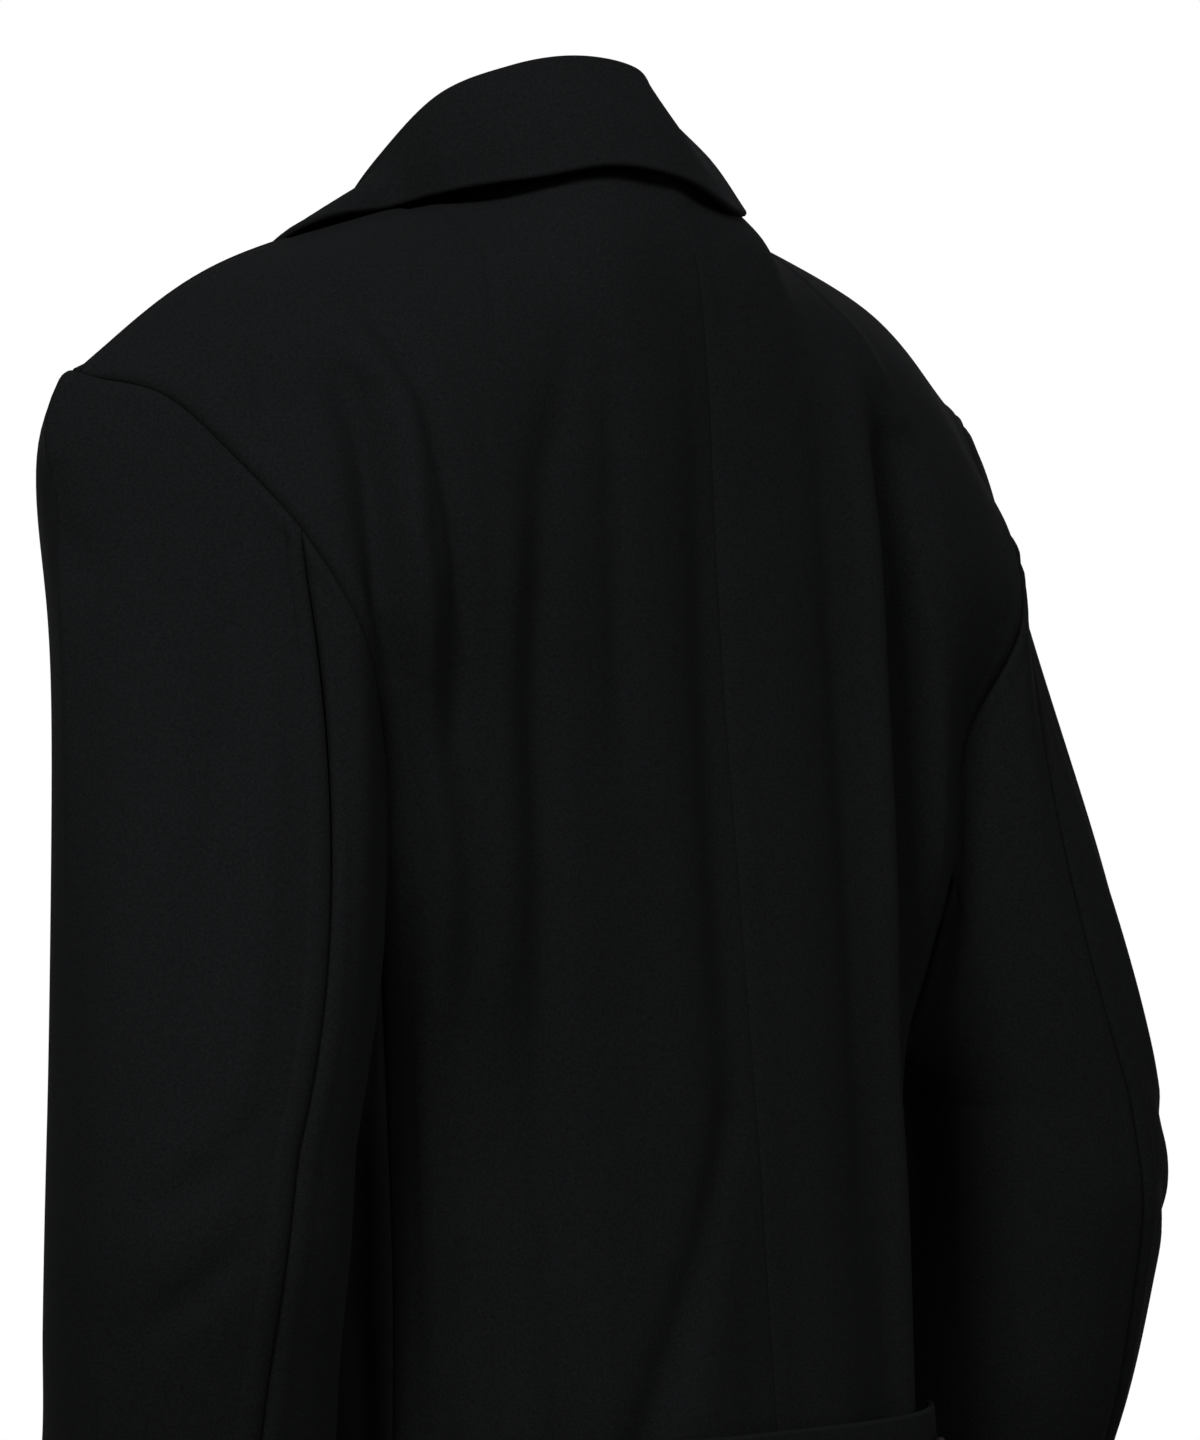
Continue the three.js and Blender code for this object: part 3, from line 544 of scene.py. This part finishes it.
def sleeve_ring(turn, z):
    """Points at angles turn and heights z: a circle about the centre, dipped towards its back."""
    x, y, radius, dip, _ = sleeve_at(z)
    back = radius * np.sin(turn)
    return np.stack([x + radius * np.cos(turn), y + back, z - dip * back], -1)


def read_at(at, knots, values):
    """Rows of values at the places at, read straight between their knots."""
    return np.stack([np.interp(at, knots, values[:, k]) for k in range(3)], -1)


def back_hole(at):
    """The armhole's edge on the back at rows' distances at, as the seam pulls it in."""
    return edge_at(back_rows, at) + read_at(at, back_t * back_rows[-1][0], back_shift)


run = np.linspace(0, 1, 60)
under_arm = side_surface(run, np.zeros(1))[:, 0] + read_at(run, side_s, side_shift) * (1 - run[:, None])
hole_top = np.concatenate([
    back_hole(sleeve_seam_row * (1 - run)),
    edge_at(front_rows, sleeve_seam_row * run)[1:],
])
hole_under = np.concatenate([
    back_hole(sleeve_seam_row + (side_rows[0][1] - sleeve_seam_row) * run),
    under_arm[1:],
    edge_at(front_rows, side_rows[0][5] + (sleeve_seam_row - side_rows[0][5]) * run)[1:],
])


def turn_at(s, last, z):
    """Angle round the sleeve at share s of the way from the hind-arm seam to last, at height z."""
    hind = sleeve_at(z)[4]
    return np.radians(hind + (last - hind) * s)


def sleeve_surface(hole, last, s, t):
    """Each line down the sleeve starts on the armhole at s, leaves it a little outwards, and is a cubic as
    far as the first ring, at share f. Below that it runs down the rings to the cuff. The head swells by
    head_roll times down exp(1 - down). The hind-arm seam bows to the body by hind_seam_bow times
    4 f (1 - f), with a soft start and less away from the seam."""
    top, cuff = sleeve_rows[0][0], sleeve_rows[-1][0]
    below = np.clip((t - sleeve_head_share) / (1 - sleeve_head_share), 0, 1)
    height = (top + (cuff - top) * below)[None, :] * np.ones((len(s), 1))
    rings = sleeve_ring(turn_at(s[:, None], last, height), height)
    level = np.full(len(s), float(top))
    turn = turn_at(s, last, level)
    knots = np.concatenate([[0], np.cumsum(np.linalg.norm(np.diff(hole, axis=0), axis=1))])
    start = spline(hole, knots, s * knots[-1])
    end = sleeve_ring(turn, level)
    path = end - start
    long = np.linalg.norm(path, axis=1, keepdims=True)
    high = np.minimum(1, (start[:, 2:] - top) / 320) * (1 - fuller_in_front * np.sin(turn[:, None]))
    out = np.stack([np.cos(turn), np.sin(turn), 0 * turn], -1)
    leave = path / long + out * sleeve_puff * high
    leave /= np.linalg.norm(leave, axis=1, keepdims=True)
    arrive = sleeve_ring(turn_at(s, last, level - 20.0), level - 20.0) - end
    arrive /= np.linalg.norm(arrive, axis=1, keepdims=True)
    f = np.clip(t / sleeve_head_share, 0, 1)[None, :, None]
    near = 2 * f**3 - 3 * f**2 + 1
    head = (
        start[:, None] * near
        + end[:, None] * (1 - near)
        + (leave * long)[:, None] * (f**3 - 2 * f**2 + f)
        + (arrive * long)[:, None] * (f**3 - f**2)
    )
    down = f[..., 0] * long / head_roll_down
    head += out[:, None] * (head_roll * high * down * np.exp(1 - down))[..., None]
    f = f[..., 0]
    head[..., 0] -= hind_seam_bow * 4 * f * (1 - f) * (1 - (1 - f) ** 10) * (1 - s[:, None]) ** 3
    return np.where((t < sleeve_head_share)[None, :, None], head, rings)


sleeve_t = steps(620, 4.0)
by_pressed_line = np.linspace(0.042, 0.09, 20)
top_s = np.unique(np.concatenate([steps(215, 2.2), by_pressed_line]))
sleeve_pieces = [
    # name, its armhole edge, angle of its front edge, shares across it, side that faces outwards
    ("top", hole_top, front_seam, top_s, 1),
    ("under", hole_under, front_seam + 360, steps(300, 3.0), -1),
]
for part, hole, last, sleeve_s, way in sleeve_pieces:
    surface = sleeve_surface(hole, last, sleeve_s, sleeve_t)
    s0, s1, t0, t1 = to_border(surface)
    turn = np.degrees(turn_at(sleeve_s[:, None], last, np.minimum(surface[..., 2], sleeve_rows[0][0])))
    turn = np.where(turn > 180, turn - 360, turn)
    lift = creases(sleeve_folds, turn, surface[..., 2], mm_per_degree) * np.clip(t0 / fold_start, 0, 1)
    # the hind half starts on the back's pulled-in edge, so its relief starts from nothing there
    hind = np.clip(2 - 2.5 * sleeve_s, 0, 1)[:, None]
    from_hole = seam_relief(t0) - seam_relief(0.0) * np.exp(-t0 / relief_fade)
    from_hole += seams(s0, s1) * np.clip(t0 / seam_start, 0, 1)
    lift += hind * from_hole + (1 - hind) * seams(s0, s1, t0) + hem_relief(t1)
    if part == "top":
        past_line = s0 - pressed_turning
        lift += turning_lift / (1 + np.exp(past_line / 0.8))
        lift -= turning_dent * np.exp(-((past_line / 1.2) ** 2))
    shaped = surface + facing(surface) * way * lift[..., None]
    for word, hand in (("left", 1), ("right", -1)):
        cloth_piece(f"sleeve_{part}_{word}", shaped * (hand, 1, 1), cloth_thick, outward=hand * way)


# Collar
# One piece of doubled melton, sewn to the neck edge. It stands, folds over and falls as the leaf,
# whose front corners lie on the shoulders.
collar_rows = [
    # distance round the neck edge from the centre back, left end first; the fold; edge of the leaf
    (-184, (84, -50, -37), (150, -44, -50)),
    (-160, (90, -27, -8), (148, 3, -22)),
    (-134, (86, -4, 17), (98, 7, -10)),
    (-108, (78, 19, 38), (84, 35, -3)),
    (-74, (57, 44, 51), (61, 68, 2.5)),
    (-36, (30, 60, 56), (33, 86, 8)),
    (0, (0, 65, 52), (0, 96, 3)),
    (36, (-20, 54, 40), (-34, 92, -9)),
    (74, (-45, 38, 37), (-66, 68, -8)),
    (108, (-66, 16, 26), (-85, 36, -6)),
    (134, (-80, -5, 12), (-97, 6, -9)),
    (160, (-88, -27, -8), (-146, 3, -21)),
    (184, (-84, -50, -37), (-150, -44, -50)),
]
neck_front_end = 85.0
foot_in = 3.0
foot_down = 5.0
fold_drop = 4.0
stand_hollow = 1.2
leaf_belly = 3
collar_columns = [0, 0.22, 0.4, 0.46, 0.52, 0.74, 1]
fold_half = 3.2
around = np.array([row[0] for row in collar_rows], float)
fold, edge = (np.array([row[k] for row in collar_rows], float) for k in (1, 2))
to_neck_point = np.linspace(0, back_columns[2], 40)
neck_back = net(back_rows, back_columns, to_neck_point, np.zeros(1), corner=2)[:, 0]
neck_front = front_surface(np.zeros(1), np.linspace(0, neck_front_end / front_rows[-1][0], 40), 1)[0]
neck_edge = np.concatenate([neck_back, neck_front[1:]])
neck_steps = np.linalg.norm(np.diff(neck_edge, axis=0), axis=1)
foot = spline(neck_edge, np.concatenate([[0], np.cumsum(neck_steps)]), np.abs(around))
foot -= foot * (1, 1, 0) / np.linalg.norm(foot[:, :2], axis=1, keepdims=True) * foot_in
foot[:, 2] -= foot_down
foot[around > 0, 0] *= -1
out = (edge - foot) * (1, 1, 0)
out /= np.linalg.norm(out, axis=1, keepdims=True)
drop = np.array([0, 0, fold_drop])
collar_lines = np.stack([
    foot,
    (foot + fold) / 2 - out * stand_hollow,
    fold - out * fold_half - drop,
    fold,
    fold + out * fold_half - drop,
    (edge + fold) / 2 + out * leaf_belly,
    edge,
])
collar_s = steps(372, 3.0)
collar_t = np.unique(np.concatenate([steps(118, 2.5), np.linspace(0.36, 0.56, 30)]))
collar_at = around[0] + collar_s * (around[-1] - around[0])
collar_points = spline(collar_lines.transpose(1, 0, 2), around, collar_at)
collar_grid = spline(collar_points.transpose(1, 0, 2), collar_columns, collar_t).transpose(1, 0, 2)
collar_grid = collar_grid - facing(collar_grid) * (doubled_thick / 2)
cloth_piece("collar", collar_grid, doubled_thick, outward=-1)


# Lapels
# The upper fronts turned back on themselves from the turn, widest at the notch. Places and widths are
# shares of the front's own length and width.
lapel_top = 0.098
lapel_break = 0.345
lapel_wide = 0.62
lapel_point = 0.035
lapel_belly = 0.75
lapel_lie = 1.6


def on_panel(grid, s_knots, t_knots, s, t):
    """Points of a panel's grid at shares s and t, read straight between its own points."""
    i = np.clip(np.searchsorted(s_knots, s, side="right") - 1, 0, len(s_knots) - 2)
    j = np.clip(np.searchsorted(t_knots, t, side="right") - 1, 0, len(t_knots) - 2)
    f = ((s - s_knots[i]) / (s_knots[i + 1] - s_knots[i]))[..., None]
    g = ((t - t_knots[j]) / (t_knots[j + 1] - t_knots[j]))[..., None]
    left = grid[i, j] * (1 - g) + grid[i, j + 1] * g
    right = grid[i + 1, j] * (1 - g) + grid[i + 1, j + 1] * g
    return left * (1 - f) + right * f


for word, hand in (("left", 1), ("right", -1)):
    s, t = np.meshgrid(steps(120, 3.0), steps(230, 3.5), indexing="ij")
    width = lapel_wide * (1 - t) ** lapel_belly * (1 - 0.12 * t) + lapel_point
    down = lapel_top + (lapel_break - lapel_top) * t
    under = on_panel(front_shape[word], front_s, front_t, s * width, down)
    raised = under - facing(under) * hand * (lapel_lie + cloth_thick)
    cloth_piece(f"lapel_{word}", raised, cloth_thick, outward=-hand)


# Pocket welts
# A strip of cloth over each slanted pocket mouth, sewn down at its ends. Its places are shares of the
# front's own width and length.
welt_across = 0.6
welt_wide = 0.09
welt_slant = 0.05
welt_top = 0.56
welt_long = 0.2
for word, hand in (("left", 1), ("right", -1)):
    s, t = np.meshgrid(steps(24, 2.0, (0, 0.5, 1, 2, 3.5)), steps(160, 3.0), indexing="ij")
    across = welt_across + welt_wide * s + welt_slant * t
    under = on_panel(front_shape[word], front_s, front_t, across, welt_top + welt_long * t)
    raised = under - facing(under) * hand * (lapel_lie + cloth_thick)
    cloth_piece(f"pocket_welt_{word}", raised, cloth_thick, outward=-hand)


# Half-belt
# Two layers of melton, turned and pressed, taut across the small of the back over the folds.
belt_half = 142.0
belt_top = -550.0
belt_height = 50.0
belt_middle_y = 160.8
belt_fall = 45.0
belt_bend = 3.5
belt_slope = 0.09
belt_t = steps(belt_height, 3.0, (0, 0.5, 1, 1.7, 2.6, 3.8))
s, t = np.meshgrid(steps(2 * belt_half, 3.0), belt_t, indexing="ij")
belt_x = belt_half * (2 * s - 1)
belt_grid = np.stack([
    belt_x,
    belt_middle_y - belt_fall * (np.abs(belt_x) / belt_half) ** belt_bend + belt_height * t * belt_slope,
    belt_top - belt_height * t,
], -1)
cloth_piece("half_belt", belt_grid, doubled_thick, outward=1)


# Buttons
# Dark horn-like buttons with a raised rim, turned on a lathe, and four holes sewn through with thread.
def horn():
    """Dark satin horn, clouded a little by a noise."""
    paint = bpy.data.materials.new("horn_button")
    paint.use_nodes = True
    nodes, links = paint.node_tree.nodes, paint.node_tree.links
    shader = nodes["Principled BSDF"]
    shader.inputs["Roughness"].default_value = 0.4
    shader.inputs["Specular IOR Level"].default_value = 0.03
    place = nodes.new("ShaderNodeTexCoord")
    cloud = nodes.new("ShaderNodeTexNoise")
    cloud.inputs["Scale"].default_value = 140.0
    cloud.inputs["Detail"].default_value = 4.0
    shade = nodes.new("ShaderNodeValToRGB")
    shade.color_ramp.elements[0].color = (0.0014, 0.0013, 0.0012, 1)
    shade.color_ramp.elements[1].color = (0.0045, 0.0038, 0.0032, 1)
    links.new(place.outputs["Object"], cloud.inputs["Vector"])
    links.new(cloud.outputs["Fac"], shade.inputs["Fac"])
    links.new(shade.outputs["Color"], shader.inputs["Base Color"])
    return paint


thread = bpy.data.materials.new("black_thread")
thread.use_nodes = True
thread_shader = thread.node_tree.nodes["Principled BSDF"]
thread_shader.inputs["Base Color"].default_value = (0.0015, 0.0015, 0.0016, 1)
thread_shader.inputs["Specular IOR Level"].default_value = 0.02
thread_shader.inputs["Roughness"].default_value = 0.8
hole_off = 2.5
hole_at = hole_off / 2 ** 0.5
hole_radius = 1.05
hole_deep = 1.9
polished = horn()
button_rim = np.array([
    # distance from the middle, height
    (5.0, 2.3), (6.5, 2.33), (8.0, 2.45), (9.2, 2.75), (10.0, 3.2), (10.7, 3.52), (11.4, 3.6), (12.0, 3.4),
    (12.4, 2.9), (12.5, 2.2), (12.45, 1.4), (12.0, 0.7), (11.2, 0.0), (6.0, 0.0), (0.02, 0.0),
])


def turned_button():
    """Vertices, quads and end caps of a button about +Z: a finely divided middle and the rim's profile,
    turned round, with each hole sunk by its depth times 1 - (gap / radius)^6 inside its radius."""
    fine = np.linspace(0.02, 4.6, 30)
    distance = np.concatenate([fine, button_rim[:, 0]])
    height = np.concatenate([np.full(len(fine), button_rim[0, 1]), button_rim[:, 1]])
    angle = np.linspace(0, 2 * np.pi, 73)[:-1]
    x, y = distance[:, None] * np.cos(angle), distance[:, None] * np.sin(angle)
    z = height[:, None] * np.ones_like(x)
    for side_x, side_y in ((1, 1), (1, -1), (-1, 1), (-1, -1)):
        gap = np.hypot(x - side_x * hole_at, y - side_y * hole_at) / hole_radius
        z[: len(fine)] -= hole_deep * np.clip(1 - gap[: len(fine)] ** 6, 0, 1)
    m, n = x.shape
    number = np.arange(m * n).reshape(m, n)
    ahead = np.roll(number, -1, axis=1)
    quads = np.stack([number[:-1], number[1:], ahead[1:], ahead[:-1]], -1).reshape(-1, 4)
    return np.stack([x, y, z], -1).reshape(-1, 3), quads, [number[0].tolist(), number[-1][::-1].tolist()]


def stitch(from_x, to_x, y):
    """A thread between two holes: an arch of eight-sided rings, its ends down in the holes."""
    share = np.linspace(0, 1, 13)
    rise = 1.3 + 1.7 * np.sin(np.pi * share) ** 0.45
    turn = np.linspace(0, 2 * np.pi, 9)[:-1]
    x = from_x + (to_x - from_x) * share
    ring_y = y + 0.42 * np.cos(turn)[None, :] * np.ones((13, 1))
    points = np.stack([x[:, None] + 0 * ring_y, ring_y, rise[:, None] + 0.32 * np.sin(turn)], -1)
    number = np.arange(13 * 8).reshape(13, 8)
    ahead = np.roll(number, -1, axis=1)
    quads = np.stack([number[:-1], ahead[:-1], ahead[1:], number[1:]], -1).reshape(-1, 4)
    return points.reshape(-1, 3), quads, [number[0][::-1].tolist(), number[-1].tolist()]


button_shape = [turned_button(), stitch(-hole_at, hole_at, hole_at), stitch(-hole_at, hole_at, -hole_at)]
for name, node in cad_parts.items():
    if not name.startswith("button_"):
        continue
    seat = np.array([tuple(node.matrix_world @ v.co) for v in node.data.vertices]) / mm
    middle = seat.mean(axis=0)
    face = np.linalg.svd(seat - middle)[2][2]
    face *= np.sign(face[1]) * (1 if "belt" in name else -1)
    across = np.cross(face, (0.0, 0.0, 1.0))
    across /= np.linalg.norm(across)
    up = np.cross(across, face)
    low = np.min((seat - middle) @ face)
    vertices, faces, paints = [], [], []
    for k, (points, quads, caps) in enumerate(button_shape):
        start = sum(len(v) for v in vertices)
        flat = points[:, :1] * across - points[:, 1:2] * up
        vertices.append(middle + flat + (points[:, 2:] + low) * face)
        new_faces = [[start + i for i in face_row] for face_row in quads.tolist() + caps]
        faces += new_faces
        paints += [min(k, 1)] * len(new_faces)
    mesh = bpy.data.meshes.new(f"{name}_sewn")
    mesh.from_pydata((np.concatenate(vertices) * mm).tolist(), [], faces)
    mesh.materials.append(polished)
    mesh.materials.append(thread)
    mesh.polygons.foreach_set("material_index", paints)
    mesh.polygons.foreach_set("use_smooth", np.ones(len(faces), bool))
    made = bpy.data.objects.new(f"{name}_sewn", mesh)
    bpy.context.scene.collection.objects.link(made)
    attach(made, "root")
    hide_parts(name)
